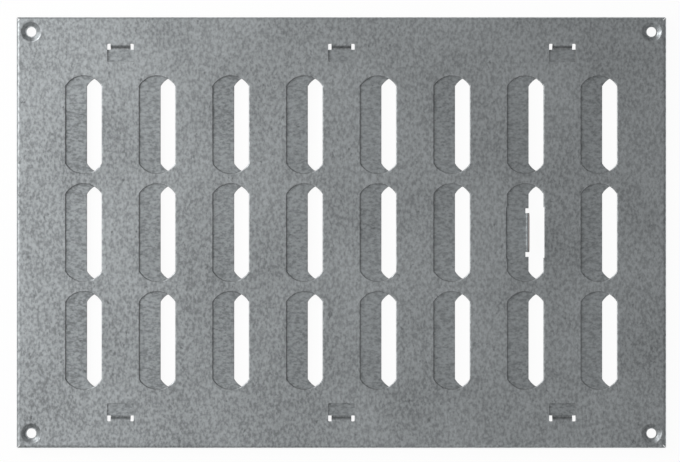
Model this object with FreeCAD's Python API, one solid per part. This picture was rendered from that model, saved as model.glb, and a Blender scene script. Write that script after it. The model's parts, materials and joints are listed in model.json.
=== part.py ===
import FreeCAD, Part
import math
import os

# Sliding vent panel (hit-and-miss vent), lying on its back with its front face up.
# X runs along the panel, Y across it, and Z points out of the front face.
# The origin is at the middle of the panel, on the plane that its rim rests on.
# All sizes are in millimetres and degrees.

Vec = FreeCAD.Vector

# ---- face plate ----
plate_length = 300.0          # outside, along X
plate_width = 199.0           # outside, along Y
plate_gauge = 0.7             # sheet thickness
rim_depth = 4.0               # front face to the edge of the folded rim
rim_bend = 0.7                # inside radius of the rim's fold
rim_seam = 0.3                # open seam between two neighbouring rim walls

# ---- slots, punched alike in the face plate and the shutter ----
slot_columns = 8
slot_rows = 3
end_margin = 14.0             # plate left at each end, outside the columns' pitches
row_web = 4.55                # sheet left between two rows
slot_length = 45.25
slot_end_flattening = 1.3     # end radius less half the slot's width
slot_cover = 0.4              # how far the shut shutter laps each side of a slot

# ---- shutter ----
shutter_gauge = 0.7
shutter_height = 169.0        # along Y
shutter_gap = 0.15            # clearance on each face of the shutter
shutter_end_gap = 0.5         # clearance to the rim's fold at each end of the travel
shutter_rest = 9.75           # how far the shutter stands from its open position

# ---- tongues that hold the shutter, lanced out of the face plate ----
tongues_per_side = 3
tongue_webs = 3               # slot columns from one tongue to the next
tongue_width = 9.2
tongue_relief = 1.5           # width of the cut punched round a tongue
tongue_window = 8.4           # height of the window that a tongue leaves
tongue_bend = 0.4             # inside radius of both bends of its neck
tongue_slope = 52.0           # steepness of its neck
tongue_clearance = 0.4        # between the shutter's edge and the foot of the neck
window_corner_radius = 0.5

# ---- finger tab, lanced out of the shutter and turned up through the face ----
tab_column = 7                # counted from the left
tab_row = 2                   # counted from the bottom
tab_width = 18.0              # along Y
tab_height = 9.0              # above the front face
tab_bend = 0.5                # inside radius
tab_corner_radius = 3.0
tab_notch = 2.2               # width of the relief notch at each end of the tab
tab_play = 0.1                # clearance to the widened slot when shut
tab_way_depth = 0.45          # widening of the face slot, on each side
tab_way_margin = 0.5          # length of the widening past each notch

bend_relief = 0.2             # how far a relief is cut past the start of its bend

# ---- screw holes in pressed dimples ----
hole_inset = 6.75             # from the plate's edges
hole_diameter = 4.5
dimple_rim = 2.3              # from the hole's edge to the dimple's edge
dimple_floor = 0.5            # flat ring left round the hole
dimple_depth = 1.5

# ---- values that follow ----
front_z = rim_depth
back_z = front_z - plate_gauge
shutter_z = back_z - shutter_gap                       # front face of the shutter
column_pitch = (plate_length - 2 * end_margin) / slot_columns
row_pitch = slot_length + row_web
travel = column_pitch / 2                              # slots in line to slots covered
slot_width = travel - slot_cover
tongue_drop = plate_gauge + shutter_gauge + 2 * shutter_gap
shutter_reach = plate_length / 2 - plate_gauge - rim_bend - shutter_end_gap
lap = 0.3                     # how far parts of one sheet are run into each other
through = 2 * (front_z + tab_height)                   # longer than any cut is deep

UP = Vec(0, 0, 1)
CENTRE = Vec(0, 0, 0)


# ---- helpers ----

def arc(start, middle, end):
    return Part.Arc(start, middle, end).toShape()


def line(start, end):
    return Part.LineSegment(start, end).toShape()


def face_in(edges):
    return Part.Face(Part.Wire(Part.__sortEdges__(edges)))


def block(x_range, y_range, z_range):
    low = Vec(x_range[0], y_range[0], z_range[0])
    return Part.makeBox(x_range[1] - x_range[0], y_range[1] - y_range[0],
                        z_range[1] - z_range[0], low)


def half_turn(shape):
    return shape.rotated(CENTRE, UP, 180)


def bent_section(start, heading, normal, gauge, moves):
    """Section of a bent strip of sheet, as a face.

    The strip's upper face sets off from start along heading. Each move is a straight
    length, a turn towards the upper side in degrees, and the turn's inside radius.
    """
    upper = []
    lower = []
    angle = 0.0

    def facing(turned):
        """Normal of the upper face once the strip has turned so far."""
        return normal * math.cos(turned) - heading * math.sin(turned)

    point = start
    for length, turn, radius in moves:
        ahead = heading * math.cos(angle) + normal * math.sin(angle)
        out = facing(angle)
        end = point + ahead * length
        upper.append(line(point, end))
        lower.append(line(point - out * gauge, end - out * gauge))
        point = end
        if turn:
            swing = math.radians(turn)
            # Distance from the bend's centre to the upper face, along its normal.
            offset = -radius if turn > 0 else radius + gauge
            centre = point - out * offset
            middle = facing(angle + swing / 2)
            last = facing(angle + swing)
            upper.append(arc(point, centre + middle * offset, centre + last * offset))
            inner = offset - gauge
            lower.append(arc(point - out * gauge, centre + middle * inner,
                             centre + last * inner))
            angle += swing
            point = centre + last * offset
    out = facing(angle)
    ends = [line(start, start - normal * gauge), line(point, point - out * gauge)]
    return face_in(upper + lower + ends)


def joggle(drop, slope, radius, gauge):
    """Straight and overall length of a neck that drops by two equal, opposite bends."""
    steep = math.radians(slope)
    middle_radius = radius + gauge / 2
    straight = (drop - 2 * middle_radius * (1 - math.cos(steep))) / math.sin(steep)
    run = 2 * middle_radius * math.sin(steep) + straight * math.cos(steep)
    return straight, run


def level_edges(shape, z):
    """Edges that lie in the level plane at z."""
    return [edge for edge in shape.Edges
            if abs(edge.BoundBox.ZMin - z) < 1e-6 and abs(edge.BoundBox.ZMax - z) < 1e-6]


# ---- slots ----

def column_x(column):
    return (column - (slot_columns + 1) / 2) * column_pitch


def row_y(row):
    return (row - (slot_rows + 1) / 2) * row_pitch


def slot_punch():
    """Punch for one slot: straight sides and flattened round ends."""
    half = slot_width / 2
    end_radius = half + slot_end_flattening
    crown = slot_length / 2
    shoulder = crown - end_radius + math.sqrt(end_radius ** 2 - half ** 2)
    edges = []
    for sign in (1, -1):
        edges.append(arc(Vec(half, sign * shoulder, 0), Vec(0, sign * crown, 0),
                         Vec(-half, sign * shoulder, 0)))
        edges.append(line(Vec(sign * half, shoulder, 0), Vec(sign * half, -shoulder, 0)))
    return face_in(edges).extrude(UP * through)


def slot_punches(shift):
    """One punch for every slot, the whole pattern moved along X by shift."""
    punch = slot_punch()
    return [punch.translated(Vec(column_x(column) + shift, row_y(row), 0))
            for column in range(1, slot_columns + 1)
            for row in range(1, slot_rows + 1)]


# ---- face plate ----

def folded_tray():
    """The blank with its four edges folded back."""
    half_x = plate_length / 2
    half_y = plate_width / 2
    outside = block((-half_x, half_x), (-half_y, half_y), (0, front_z))
    outside = outside.makeFillet(rim_bend + plate_gauge, level_edges(outside, front_z))
    half_x -= plate_gauge
    half_y -= plate_gauge
    inside = block((-half_x, half_x), (-half_y, half_y), (-front_z, back_z))
    inside = inside.makeFillet(rim_bend, level_edges(inside, back_z))
    return outside.cut(inside)


def rim_seams():
    """Cuts that part the rim walls along the mitre of each corner."""
    fold = rim_bend + plate_gauge
    seams = []
    for sx in (1, -1):
        for sy in (1, -1):
            seam = block((0, 2 * fold), (-rim_seam / 2, rim_seam / 2), (-through, through))
            seam.rotate(CENTRE, UP, math.degrees(math.atan2(sy, sx)))
            seam.translate(Vec(sx * (plate_length / 2 - fold),
                               sy * (plate_width / 2 - fold), 0))
            seams.append(seam)
    return seams


def tab_way():
    """Shallow widening of the slot that the finger tab stands in."""
    half_x = slot_width / 2 + tab_way_depth
    half_y = tab_width / 2 + tab_notch + tab_way_margin
    x = column_x(tab_column)
    y = row_y(tab_row)
    return block((x - half_x, x + half_x), (y - half_y, y + half_y), (0, through))


def tongue_centres():
    spacing = tongue_webs * column_pitch
    return [(i - (tongues_per_side - 1) / 2) * spacing for i in range(tongues_per_side)]


def at_each_tongue(upper):
    """Copies of a shape made for x = 0 on the upper side, one for every tongue."""
    lower = half_turn(upper)
    return [shape.translated(Vec(x, 0, 0))
            for x in tongue_centres() for shape in (upper, lower)]


def tongue_root_y():
    """Where the neck of an upper tongue leaves the plate."""
    run = joggle(tongue_drop, tongue_slope, tongue_bend, plate_gauge)[1]
    return shutter_height / 2 + tongue_clearance + run


def tongue_windows():
    """Windows left in the plate round and beyond the tongues."""
    half = tongue_width / 2 + tongue_relief
    outer = tongue_root_y() + bend_relief
    window = block((-half, half), (outer - tongue_window, outer), (0, through))
    upright = [edge for edge in window.Edges if edge.BoundBox.ZLength > through / 2]
    return at_each_tongue(window.makeFillet(window_corner_radius, upright))


def tongues():
    """Tongues bent back and turned under the edges of the shutter."""
    straight = joggle(tongue_drop, tongue_slope, tongue_bend, plate_gauge)[0]
    bends = 2 * math.radians(tongue_slope) * (tongue_bend + plate_gauge / 2)
    blank = tongue_window - bend_relief - tongue_relief
    root = bend_relief + lap
    section = bent_section(
        Vec(-tongue_width / 2, tongue_root_y() + root, front_z), Vec(0, -1, 0), UP,
        plate_gauge,
        [(root, -tongue_slope, tongue_bend),
         (straight, tongue_slope, tongue_bend),
         (blank - straight - bends, 0, 0)])
    return at_each_tongue(section.extrude(Vec(tongue_width, 0, 0)))


def at_each_hole(shape):
    """Copies of a shape made about the Z axis, one at every screw hole."""
    x = plate_length / 2 - hole_inset
    y = plate_width / 2 - hole_inset
    return [shape.translated(Vec(sx * x, sy * y, 0)) for sx in (1, -1) for sy in (1, -1)]


def dimple_seats():
    return at_each_hole(Part.makeCylinder(hole_diameter / 2 + dimple_rim, through))


def dimples():
    """Dimples pressed back round the screw holes, to sink the screw heads."""
    hole = hole_diameter / 2
    top = [Vec(hole + dimple_rim + lap, 0, front_z), Vec(hole + dimple_rim, 0, front_z),
           Vec(hole + dimple_floor, 0, front_z - dimple_depth),
           Vec(hole, 0, front_z - dimple_depth)]
    # The wall is drawn out of the sheet, so its back is the front moved down.
    bottom = [point - UP * plate_gauge for point in reversed(top)]
    section = Part.Face(Part.makePolygon(top + bottom + top[:1]))
    return at_each_hole(section.revolve(CENTRE, UP, 360))


def face_plate():
    openings = slot_punches(0) + [tab_way()] + tongue_windows()
    plate = folded_tray().cut(openings + dimple_seats() + rim_seams())
    return plate.multiFuse(tongues() + dimples()).removeSplitter()


# ---- shutter ----

def tab_outer_x():
    """Outer face of the finger tab at rest. Shut, it stops tab_play short of the slot."""
    shut = column_x(tab_column) + slot_width / 2 + tab_way_depth - tab_play
    return shut - travel + shutter_rest


def tab_bend_x():
    return tab_outer_x() - shutter_gauge - tab_bend


def tab_room():
    """Everything cleared from the shutter for the tab's bend and its relief notches."""
    half_y = tab_width / 2 + tab_notch
    y = row_y(tab_row)
    slot_middle = column_x(tab_column) + shutter_rest
    return block((tab_bend_x() - bend_relief, slot_middle), (y - half_y, y + half_y),
                 (0, through))


def finger_tab():
    root = bend_relief + lap
    rise = front_z + tab_height - shutter_z - tab_bend
    section = bent_section(
        Vec(tab_bend_x() - root, row_y(tab_row) - tab_width / 2, shutter_z),
        Vec(1, 0, 0), UP, shutter_gauge,
        [(root, 90, tab_bend), (rise, 0, 0)])
    tab = section.extrude(Vec(0, tab_width, 0))
    top = [edge for edge in level_edges(tab, front_z + tab_height)
           if edge.BoundBox.YLength < 1e-6]
    return tab.makeFillet(tab_corner_radius, top)


def shutter():
    left = -shutter_reach + shutter_rest
    right = shutter_reach - travel + shutter_rest
    half_y = shutter_height / 2
    sheet = block((left, right), (-half_y, half_y), (shutter_z - shutter_gauge, shutter_z))
    sheet = sheet.cut(slot_punches(shutter_rest) + [tab_room()])
    return sheet.fuse(finger_tab()).removeSplitter()


# ---- parts ----

PARTS = {
    "face_plate": face_plate,
    "shutter": shutter,
}

os.makedirs("parts", exist_ok=True)
for name, make in PARTS.items():
    shape = make()
    solids = shape.Solids
    if len(solids) != 1 or not solids[0].isValid():
        raise ValueError(name + " is not one valid solid")
    solids[0].exportStep("parts/" + name + ".step")
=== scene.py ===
import json
import math

import bmesh
import bpy
from mathutils import Matrix, Vector


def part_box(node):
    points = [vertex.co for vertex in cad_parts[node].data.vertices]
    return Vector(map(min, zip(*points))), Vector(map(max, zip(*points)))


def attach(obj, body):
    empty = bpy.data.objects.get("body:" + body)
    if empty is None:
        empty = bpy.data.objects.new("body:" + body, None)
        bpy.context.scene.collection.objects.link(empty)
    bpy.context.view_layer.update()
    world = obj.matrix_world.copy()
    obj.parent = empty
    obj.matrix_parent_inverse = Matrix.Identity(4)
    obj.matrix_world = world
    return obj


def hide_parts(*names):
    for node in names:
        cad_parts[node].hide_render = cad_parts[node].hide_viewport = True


bl_info = {
    "name": "Sliding Vent Panel",
    "version": (1, 0, 0),
    "blender": (4, 5, 0),
    "location": "3D View > Sidebar > Vent Panel",
    "description": "Dresses the packed sliding vent panel in zinc-coated sheet and sets its stage",
    "category": "Object",
}

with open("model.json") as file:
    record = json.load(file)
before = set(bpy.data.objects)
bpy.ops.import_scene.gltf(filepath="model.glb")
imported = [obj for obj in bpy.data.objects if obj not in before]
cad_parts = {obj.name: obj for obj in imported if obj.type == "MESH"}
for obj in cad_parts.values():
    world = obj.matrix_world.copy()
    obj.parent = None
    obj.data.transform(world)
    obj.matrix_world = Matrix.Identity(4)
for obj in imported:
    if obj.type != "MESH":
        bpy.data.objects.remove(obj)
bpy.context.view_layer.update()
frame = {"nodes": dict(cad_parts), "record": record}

PLATE_LOW, PLATE_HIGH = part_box("face_plate")
SHUTTER_LOW, SHUTTER_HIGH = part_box("shutter")
COLOURS = {slot["slot"]: slot["base_color"] for slot in frame["record"]["materials"]}

MM = 0.001
TINY = 1e-6                     # metres, well under any gap in the panel
LEVEL = 0.99                    # a face whose normal has this much Z is level
UPRIGHT = 0.05                  # a face whose normal has less Z than this is upright
STANDING = (-UPRIGHT, UPRIGHT)  # Z of the normals of an upright wall
SLOPING = (0.6, 0.95)           # Z of the normals of a dimple's wall
FOLD = 1.2 * MM                 # reach of the rim's wall and most of its fold
LONG_EDGE = 1.0 * MM            # strip along the shutter's long edges, clear of its tab
BURR_SIDES = 4                  # facets round a burr
FLOOR_GAP = 0.1 * MM            # from the rim down to the floor
SMOOTH_ANGLE = math.radians(26)  # bends and arcs are flatter than this from facet to facet

# What the finish's noises do. A noise runs from 0 to 1.
MIDDLE = (0.3, 0.7)             # nearly all of a noise lies between these
PEAKS = (0.66, 0.74)            # specks are where the noise rises through these
CLOUDINESS = 0.2                # share of the clouds in the coating's colour
SPECK_DEPTH = 0.5               # how much of a speck's own colour shows
SPECK_SHADE = 0.35              # a speck's colour, as a share of the sheet's
GRAIN_GLOSS = 0.14              # how much smoother a light grain is than a dark one
SPECK_ROUGHNESS = 0.2           # how much rougher a speck is
CUT_ROUGHNESS = 0.12            # how much rougher a cut edge is
GRAIN_HEIGHT = 0.5              # heights in the bumps, as shares of their relief
CLOUD_HEIGHT = 0.15
SPECK_PIT = 0.6
BUMP_STRENGTH = 0.25
FLOOR_CLOUD = 0.3               # metres, scale of the floor's faint clouds
FLOOR_LIFT = 1.02               # the floor's lightest clouds to its colour

# Lamps: name, place in metres, side of the square in metres, and its power's setting.
LAMPS = (
    ("key_lamp", (-0.57, 0.40, 0.40), 0.5, "key_power"),
    ("side_lamp", (-0.64, 0.0, 0.77), 1.0, "side_power"),
    ("fill_lamp", (0.0, -0.64, 0.77), 0.8, "fill_power"),
)


# ---- settings ----

def rgb(value, label, note):
    return bpy.props.FloatVectorProperty(name=label, description=note, default=value,
                                         size=3, min=0, max=1, subtype="COLOR")


def length(value, label, note):
    """A size in metres."""
    return bpy.props.FloatProperty(name=label, description=note, default=value,
                                   min=0, unit="LENGTH", precision=5)


def share(value, label, note):
    return bpy.props.FloatProperty(name=label, description=note, default=value,
                                   min=0, max=1, subtype="FACTOR")


def number(value, label, note):
    return bpy.props.FloatProperty(name=label, description=note, default=value, min=0)


def count(value, label, note):
    return bpy.props.IntProperty(name=label, description=note, default=value, min=1)


class PunchedEdgeSettings(bpy.types.PropertyGroup):
    """Edges that the press leaves: drawn in where a punch enters, and burred where it leaves."""
    roll: length(0.45 * MM, "Roll-over", "How far a slot's front edge is drawn in")
    shutter_roll: length(0.225 * MM, "Shutter roll-over", "The same for the shutter's slots")
    dimple: length(0.35 * MM, "Dimple rounding", "How far a dimple's outer edge is rounded")
    steps: count(6, "Steps", "Facets across a rounded edge")
    burr: length(0.04 * MM, "Burr", "Radius of the burr round a slot's back edge")


class ZincSettings(bpy.types.PropertyGroup):
    """Finish of the zinc-coated sheets."""
    face_colour: rgb(COLOURS["face_sheet"], "Face plate", "Zinc of the face plate")
    shutter_colour: rgb(COLOURS["shutter_sheet"], "Shutter", "Zinc of the shutter")
    cut_colour: rgb((0.40, 0.37, 0.36), "Cut edges", "Bare steel where the sheet was cut")
    grain: length(0.6 * MM, "Grain", "Width of the zinc's mottling")
    grain_stretch: number(1.5, "Grain stretch", "Length of the mottling to its width")
    mottle: share(0.39, "Mottling", "How far light and dark grains differ")
    speck: length(1.5 * MM, "Specks", "Scale of the dark specks")
    cloud: length(22.0 * MM, "Clouding", "Scale of the faint clouds in the coating")
    roughness: share(0.46, "Roughness", "Mean roughness of the zinc")
    metal: share(0.85, "Metal", "How metallic the weathered coating is")
    relief: length(0.05 * MM, "Relief", "Height of the coating's bumps")


class StageSettings(bpy.types.PropertyGroup):
    """Floor, lamps and camera."""
    floor_size: length(12.0, "Floor", "Side of the floor")
    floor_colour: rgb((0.86, 0.86, 0.86), "Floor colour", "Pale floor under the panel")
    floor_white: share(0.95, "Floor white", "How nearly white the floor is seen")
    lens: number(195.0, "Lens", "Focal length in millimetres")
    sensor: number(36.0, "Sensor", "Width of the sensor in millimetres")
    fill: share(0.9556, "Fill", "Share of the image's width that the panel takes")
    aside: length(0.66 * MM, "Aside", "How far the panel's middle is right of the image's")
    below: length(0.73 * MM, "Below", "How far the panel's middle is below the image's")
    sky: share(0.29, "Sky", "Brightness of the sky all round")
    key_power: number(4.1, "Key lamp", "Power of the low lamp at the upper left, in watts")
    side_power: number(3.7, "Side lamp", "Power of the broad lamp at the left, in watts")
    fill_power: number(0.7, "Fill lamp", "Power of the lamp at the near side, in watts")


# ---- node trees ----

class Value:
    """A node's output that takes part in Python arithmetic."""

    def __init__(self, tree, socket):
        self.tree = tree
        self.socket = socket

    def math(self, operation, *others):
        inputs = dict(enumerate((self, *others)))
        return self.tree.node("ShaderNodeMath", {"operation": operation}, inputs)

    def __add__(self, other):
        return self.math("ADD", other)

    def __sub__(self, other):
        return self.math("SUBTRACT", other)

    def __rsub__(self, other):
        return (self * -1) + other

    def __mul__(self, other):
        return self.math("MULTIPLY", other)

    __radd__ = __add__
    __rmul__ = __mul__


class Tree:
    """Adds nodes to a shader or geometry tree."""

    def __init__(self, nodes, links):
        self.nodes = nodes
        self.links = links

    def node(self, kind, settings=None, inputs=None, output=0):
        """Makes a node, sets it up, fills or links its sockets, and returns one output."""
        node = self.nodes.new(kind)
        for name, value in (settings or {}).items():
            setattr(node, name, value)
        for name, value in (inputs or {}).items():
            if isinstance(value, Value):
                self.links.new(value.socket, node.inputs[name])
            else:
                node.inputs[name].default_value = value
        return Value(self, node.outputs[output]) if node.outputs else node

    def mix(self, factor, low, high):
        """Colour that goes from low to high, which are the node's sockets 6 and 7."""
        inputs = {"Factor": factor, 6: low, 7: high}
        return self.node("ShaderNodeMix", {"data_type": "RGBA"}, inputs, 2)

    def fade(self, value, low, high):
        """0 below low, 1 above high, smooth between."""
        inputs = {"Value": value, "From Min": low, "From Max": high}
        return self.node("ShaderNodeMapRange", {"interpolation_type": "SMOOTHSTEP"}, inputs)

    def noise(self, place, size, detail, roughness=0.5):
        """Noise whose features are about size metres across."""
        inputs = {"Vector": place, "Scale": 0.5 / size, "Detail": detail,
                  "Roughness": roughness}
        return self.node("ShaderNodeTexNoise", None, inputs)


def opaque(colour):
    return (*colour, 1.0)


def shader_tree(owner):
    owner.use_nodes = True
    owner.node_tree.nodes.clear()
    return Tree(owner.node_tree.nodes, owner.node_tree.links)


# ---- finishes ----

def zinc(name, colour, along_y, settings):
    """Hot-dip zinc on rolled sheet: fine mottling along the grain, dark specks, cut edges."""
    material = bpy.data.materials.new(name)
    tree = shader_tree(material)
    place = tree.node("ShaderNodeTexCoord", output="Object")
    stretch = 1 / settings.grain_stretch
    scale = (1.0, stretch, 1.0) if along_y else (stretch, 1.0, 1.0)
    grained = tree.node("ShaderNodeMapping", None, {"Vector": place, "Scale": scale})

    grains = tree.noise(grained, settings.grain, detail=3.0, roughness=0.6)
    clouds = tree.noise(place, settings.cloud, detail=2.0)
    speckle = tree.noise(grained, settings.speck, detail=2.0, roughness=0.7)
    mottle = tree.fade(grains, *MIDDLE)
    cloud = tree.fade(clouds, *MIDDLE)
    specks = tree.fade(speckle, *PEAKS)
    cut = tree.node("ShaderNodeAttribute", {"attribute_name": "cut"}, output="Fac")

    dark, light, speck = (
        opaque([c * shade for c in colour])
        for shade in (1 - settings.mottle, 1 + settings.mottle, SPECK_SHADE))
    coating = tree.mix(mottle * (1 - CLOUDINESS) + cloud * CLOUDINESS, dark, light)
    coating = tree.mix(specks * SPECK_DEPTH, coating, speck)
    paint = tree.mix(cut, coating, opaque(settings.cut_colour))
    rough = (settings.roughness - (mottle - 0.5) * GRAIN_GLOSS
             + specks * SPECK_ROUGHNESS + cut * CUT_ROUGHNESS)
    height = mottle * GRAIN_HEIGHT + cloud * CLOUD_HEIGHT - specks * SPECK_PIT
    bump = tree.node("ShaderNodeBump", None, {
        "Strength": BUMP_STRENGTH, "Distance": settings.relief, "Height": height})
    surface = tree.node("ShaderNodeBsdfPrincipled", None, {
        "Base Color": paint, "Roughness": rough, "Metallic": settings.metal, "Normal": bump})
    tree.node("ShaderNodeOutputMaterial", None, {"Surface": surface})
    return material


def floor_finish(colour, whiteness):
    """Pale matt floor that looks nearly white in view and in reflections."""
    material = bpy.data.materials.new("pale_floor")
    tree = shader_tree(material)
    place = tree.node("ShaderNodeTexCoord", output="Object")
    cloud = tree.noise(place, FLOOR_CLOUD, detail=2.0)
    tint = tree.mix(cloud, opaque(colour), opaque([c * FLOOR_LIFT for c in colour]))
    matt = tree.node("ShaderNodeBsdfDiffuse", None, {"Color": tint})
    white = tree.node("ShaderNodeEmission", None, {"Color": opaque((1, 1, 1)),
                                                   "Strength": 1.0})
    camera, glossy, through = (
        tree.node("ShaderNodeLightPath", output=ray)
        for ray in ("Is Camera Ray", "Is Glossy Ray", "Is Transmission Ray"))
    seen = camera.math("MAXIMUM", glossy).math("MAXIMUM", through)
    surface = tree.node("ShaderNodeMixShader", None, {0: seen * whiteness, 1: matt, 2: white})
    tree.node("ShaderNodeOutputMaterial", None, {"Surface": surface})
    return material


# ---- sheets ----

def merged_copy(node):
    """A CAD node's triangles as one joined mesh."""
    source = frame["nodes"][node].data
    mesh = bmesh.new()
    verts = [mesh.verts.new(vert.co) for vert in source.vertices]
    for face in source.polygons:
        mesh.faces.new([verts[index] for index in face.vertices])
    bmesh.ops.remove_doubles(mesh, verts=mesh.verts, dist=TINY)
    mesh.normal_update()
    return mesh


def rims(mesh, level, facing, walls):
    """Closed loops of edges where a level face meets walls.

    level is the face's height, facing is 1 if it looks up and -1 if it looks down, and
    walls are the lowest and highest Z that the walls' normals may have.
    """
    edges = set()
    for edge in mesh.edges:
        faces = edge.link_faces
        if len(faces) != 2 or any(abs(vert.co.z - level) > TINY for vert in edge.verts):
            continue
        wall, flat = sorted(faces, key=lambda face: face.normal.z * facing)
        if flat.normal.z * facing > LEVEL and walls[0] < wall.normal.z < walls[1]:
            edges.add(edge)
    loops = []
    while edges:
        loop = [edges.pop()]
        start, end = loop[0].verts
        ahead = loop
        while ahead:
            ahead = [edge for edge in end.link_edges if edge in edges]
            if ahead:
                edges.remove(ahead[0])
                loop.append(ahead[0])
                end = ahead[0].other_vert(end)
        if end is start:
            loops.append(loop)
    return loops


def into(face, edge):
    """Direction that leads from an edge into one of its faces, square to the edge."""
    along = (edge.verts[1].co - edge.verts[0].co).normalized()
    across = along.cross(face.normal)
    if across.dot(face.calc_center_median() - edge.verts[0].co) < 0:
        across.negate()
    return across


def mitred(directions):
    """The move that keeps both edges at a corner one unit away along their directions."""
    first, second = directions
    return (first + second) / (1 + first.dot(second))


def round_rims(mesh, loops, reach, steps):
    """Rounds loops of edges. The rounding starts at reach from the edge on either face."""
    edges = [edge for loop in loops for edge in loop]
    ends = [[tuple(vert.co) for vert in edge.verts] for edge in edges]
    moves = {}
    for edge in edges:
        wall, flat = sorted(edge.link_faces, key=lambda face: abs(face.normal.z))
        for vert in edge.verts:
            flats, walls = moves.setdefault(tuple(vert.co), ([], []))
            flats.append(into(flat, edge))
            walls.append(into(wall, edge))
    bmesh.ops.split_edges(mesh, edges=edges)
    halves = {}
    for vert in mesh.verts:
        place = tuple(vert.co)
        if place in moves:
            is_flat = any(abs(face.normal.z) > LEVEL for face in vert.link_faces)
            halves.setdefault(place, {})[is_flat] = vert
    rings = {}
    for place, (flats, walls) in moves.items():
        over = mitred(flats) * reach
        down = mitred(walls) * reach
        corner = Vector(place)
        between = [mesh.verts.new(corner + over * (1 - step / steps) ** 2
                                  + down * (step / steps) ** 2)
                   for step in range(1, steps)]
        halves[place][True].co += over
        halves[place][False].co += down
        rings[place] = [halves[place][True], *between, halves[place][False]]
    for one, other in ends:
        for step in range(steps):
            mesh.faces.new((rings[one][step], rings[other][step],
                            rings[other][step + 1], rings[one][step + 1]))
    bmesh.ops.recalc_face_normals(mesh, faces=mesh.faces)


def mark_cuts(mesh, is_cut):
    """Stores 1 on the faces where bare steel shows."""
    layer = mesh.faces.layers.float.new("cut")
    for face in mesh.faces:
        face[layer] = 1.0 if is_cut(face) else 0.0


def mark_punch_exits(mesh, back):
    """Marks the edges round the openings in a sheet's back face."""
    layer = mesh.edges.layers.bool.new("punch_exit")
    for loop in rims(mesh, back, -1, STANDING):
        for edge in loop:
            edge[layer] = True


def burr_tree():
    """Geometry nodes that lay a burr along the marked edges of a sheet."""
    group = bpy.data.node_groups.new("punch_burr", "GeometryNodeTree")
    sockets = group.interface
    sockets.new_socket("Sheet", in_out="INPUT", socket_type="NodeSocketGeometry")
    sockets.new_socket("Burr Radius", in_out="INPUT", socket_type="NodeSocketFloat")
    sockets.new_socket("Finish", in_out="INPUT", socket_type="NodeSocketMaterial")
    sockets.new_socket("Sheet", in_out="OUTPUT", socket_type="NodeSocketGeometry")
    tree = Tree(group.nodes, group.links)
    given = group.nodes.new("NodeGroupInput").outputs
    sheet, radius, finish = (Value(tree, given[i]) for i in range(3))
    marked = tree.node("GeometryNodeInputNamedAttribute", {"data_type": "BOOLEAN"},
                       {"Name": "punch_exit"})
    path = tree.node("GeometryNodeMeshToCurve", None, {"Mesh": sheet, "Selection": marked})
    profile = tree.node("GeometryNodeCurvePrimitiveCircle", None,
                        {"Resolution": BURR_SIDES, "Radius": radius})
    burr = tree.node("GeometryNodeCurveToMesh", None,
                     {"Curve": path, "Profile Curve": profile})
    burr = tree.node("GeometryNodeStoreNamedAttribute",
                     {"data_type": "FLOAT", "domain": "FACE"},
                     {"Geometry": burr, "Name": "cut", "Value": 1.0})
    join = group.nodes.new("GeometryNodeJoinGeometry")
    group.links.new(burr.socket, join.inputs[0])
    group.links.new(sheet.socket, join.inputs[0])
    whole = tree.node("GeometryNodeRealizeInstances", None,
                      {"Geometry": Value(tree, join.outputs[0])})
    coated = tree.node("GeometryNodeSetMaterial", None,
                       {"Geometry": whole, "Material": finish})
    tree.node("NodeGroupOutput", None, {0: coated})
    return group


def plain_mesh(piece):
    """Swaps a piece's mesh for what its modifiers make of it, and removes them."""
    evaluated = piece.evaluated_get(bpy.context.evaluated_depsgraph_get())
    mesh = bpy.data.meshes.new_from_object(evaluated)
    piece.modifiers.clear()
    piece.data = mesh


def finish_sheet(mesh, name, node, body, material, burr):
    """Makes a sheet's piece, burred and smooth, which stands for its CAD node."""
    data = bpy.data.meshes.new(name)
    mesh.to_mesh(data)
    mesh.free()
    piece = bpy.data.objects.new(name, data)
    bpy.context.scene.collection.objects.link(piece)
    data.materials.append(material)

    group = burr_tree()
    nodes = piece.modifiers.new("punch_burr", "NODES")
    nodes.node_group = group
    inputs = {item.name: item.identifier for item in group.interface.items_tree
              if item.in_out == "INPUT"}
    nodes[inputs["Burr Radius"]] = burr
    nodes[inputs["Finish"]] = material
    plain_mesh(piece)

    piece.data.shade_smooth()
    piece.data.set_sharp_from_angle(angle=SMOOTH_ANGLE)
    weighted = piece.modifiers.new("flat_faces_lead", "WEIGHTED_NORMAL")
    weighted.keep_sharp = True
    plain_mesh(piece)

    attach(piece, body)
    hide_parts(node)
    return piece


class VENT_OT_face_plate(bpy.types.Operator):
    """Dress the face plate"""
    bl_idname = "vent.face_plate"
    bl_label = "Face Plate"

    def execute(self, context):
        scene = context.scene
        edges = scene.vent_edges
        mesh = merged_copy("face_plate")
        front = PLATE_HIGH.z
        back = max(face.calc_center_median().z for face in mesh.faces
                   if face.normal.z < -LEVEL)
        mark_punch_exits(mesh, back)
        round_rims(mesh, rims(mesh, front, 1, STANDING), edges.roll, edges.steps)
        round_rims(mesh, rims(mesh, front, 1, SLOPING), edges.dimple, edges.steps)

        def is_cut(face):
            middle = face.calc_center_median()
            if abs(middle.x) > PLATE_HIGH.x - FOLD or abs(middle.y) > PLATE_HIGH.y - FOLD:
                return middle.z < TINY
            return abs(face.normal.z) < UPRIGHT

        mark_cuts(mesh, is_cut)
        material = zinc("zinc_face", scene.vent_zinc.face_colour, True, scene.vent_zinc)
        finish_sheet(mesh, "face_plate_sheet", "face_plate", "panel", material,
                     edges.burr)
        return {"FINISHED"}


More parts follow.
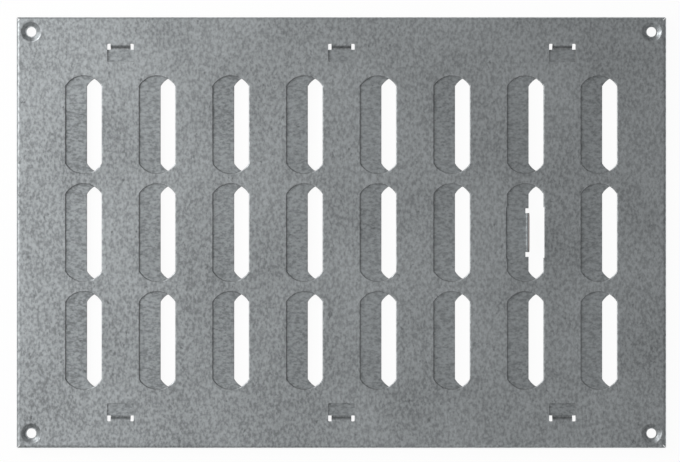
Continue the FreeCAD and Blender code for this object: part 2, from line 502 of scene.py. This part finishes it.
class VENT_OT_shutter(bpy.types.Operator):
    """Dress the shutter and its finger tab"""
    bl_idname = "vent.shutter"
    bl_label = "Shutter"

    def execute(self, context):
        scene = context.scene
        edges = scene.vent_edges
        mesh = merged_copy("shutter")
        front = max(vert.co.z for vert in mesh.verts
                    if abs(vert.co.y) > SHUTTER_HIGH.y - LONG_EDGE)
        mark_punch_exits(mesh, SHUTTER_LOW.z)
        round_rims(mesh, rims(mesh, front, 1, STANDING), edges.shutter_roll, edges.steps)

        def is_cut(face):
            if face.calc_center_median().z > front + TINY:
                return abs(face.normal.x) < UPRIGHT
            return abs(face.normal.z) < UPRIGHT

        mark_cuts(mesh, is_cut)
        material = zinc("zinc_shutter", scene.vent_zinc.shutter_colour, False, scene.vent_zinc)
        finish_sheet(mesh, "shutter_sheet", "shutter", "slider", material,
                     edges.burr)
        return {"FINISHED"}


# ---- stage ----

def add_floor(settings):
    mesh = bmesh.new()
    half = settings.floor_size / 2
    level = PLATE_LOW.z - FLOOR_GAP
    corners = [mesh.verts.new((x, y, level))
               for x, y in ((-half, -half), (half, -half), (half, half), (-half, half))]
    mesh.faces.new(corners)
    data = bpy.data.meshes.new("floor")
    mesh.to_mesh(data)
    mesh.free()
    data.materials.append(floor_finish(settings.floor_colour, settings.floor_white))
    floor = bpy.data.objects.new("floor", data)
    bpy.context.scene.collection.objects.link(floor)


def aimed(place, target):
    """Matrix of a lamp at place that looks at target."""
    turn = (target - place).to_track_quat("-Z", "Y")
    return Matrix.Translation(place) @ turn.to_matrix().to_4x4()


def add_lamp(name, place, size, power):
    """A square soft lamp at place that points at the panel."""
    data = bpy.data.lights.new(name, "AREA")
    data.shape = "SQUARE"
    data.size = size
    data.energy = power
    lamp = bpy.data.objects.new(name, data)
    lamp.matrix_world = aimed(Vector(place), Vector((0, 0, 0)))
    bpy.context.scene.collection.objects.link(lamp)


def add_sky(brightness):
    """A plain grey sky, alike all round."""
    world = bpy.data.worlds.new("studio")
    bpy.context.scene.world = world
    tree = shader_tree(world)
    light = tree.node("ShaderNodeBackground", None, {"Color": opaque((1, 1, 1)),
                                                     "Strength": brightness})
    tree.node("ShaderNodeOutputWorld", None, {"Surface": light})


def add_camera(settings):
    """A long lens straight above the panel, with the panel's length filling the view."""
    data = bpy.data.cameras.new("camera")
    data.lens = settings.lens
    data.sensor_width = settings.sensor
    camera = bpy.data.objects.new("camera", data)
    span = PLATE_HIGH.x - PLATE_LOW.x
    distance = span * settings.lens / (settings.sensor * settings.fill)
    camera.location = (-settings.aside, settings.below, PLATE_HIGH.z + distance)
    bpy.context.scene.collection.objects.link(camera)
    bpy.context.scene.camera = camera


class VENT_OT_stage(bpy.types.Operator):
    """Lay the floor, hang the lamps and set the camera"""
    bl_idname = "vent.stage"
    bl_label = "Stage"

    def execute(self, context):
        settings = context.scene.vent_stage
        add_floor(settings)
        add_sky(settings.sky)
        for name, place, size, power in LAMPS:
            add_lamp(name, place, size, getattr(settings, power))
        add_camera(settings)
        context.scene.view_settings.view_transform = "Standard"
        return {"FINISHED"}


# ---- add-on ----

class VENT_PT_panel(bpy.types.Panel):
    """Vent panel's pieces and settings"""
    bl_idname = "VENT_PT_panel"
    bl_label = "Vent Panel"
    bl_space_type = "VIEW_3D"
    bl_region_type = "UI"
    bl_category = "Vent Panel"

    def draw(self, context):
        for name in ("vent_edges", "vent_zinc", "vent_stage"):
            box = self.layout.box()
            settings = getattr(context.scene, name)
            for key in settings.bl_rna.properties.keys():
                if key not in ("rna_type", "name"):
                    box.prop(settings, key)
        for operator in OPERATORS:
            self.layout.operator(operator.bl_idname)


OPERATORS = (VENT_OT_face_plate, VENT_OT_shutter, VENT_OT_stage)
CLASSES = (PunchedEdgeSettings, ZincSettings, StageSettings, *OPERATORS, VENT_PT_panel)


def register():
    for cls in CLASSES:
        bpy.utils.register_class(cls)
    bpy.types.Scene.vent_edges = bpy.props.PointerProperty(type=PunchedEdgeSettings)
    bpy.types.Scene.vent_zinc = bpy.props.PointerProperty(type=ZincSettings)
    bpy.types.Scene.vent_stage = bpy.props.PointerProperty(type=StageSettings)


def unregister():
    del bpy.types.Scene.vent_stage
    del bpy.types.Scene.vent_zinc
    del bpy.types.Scene.vent_edges
    for cls in reversed(CLASSES):
        bpy.utils.unregister_class(cls)


def main():
    register()
    bpy.ops.vent.face_plate()
    bpy.ops.vent.shutter()
    bpy.ops.vent.stage()


if __name__ == "__main__":
    main()
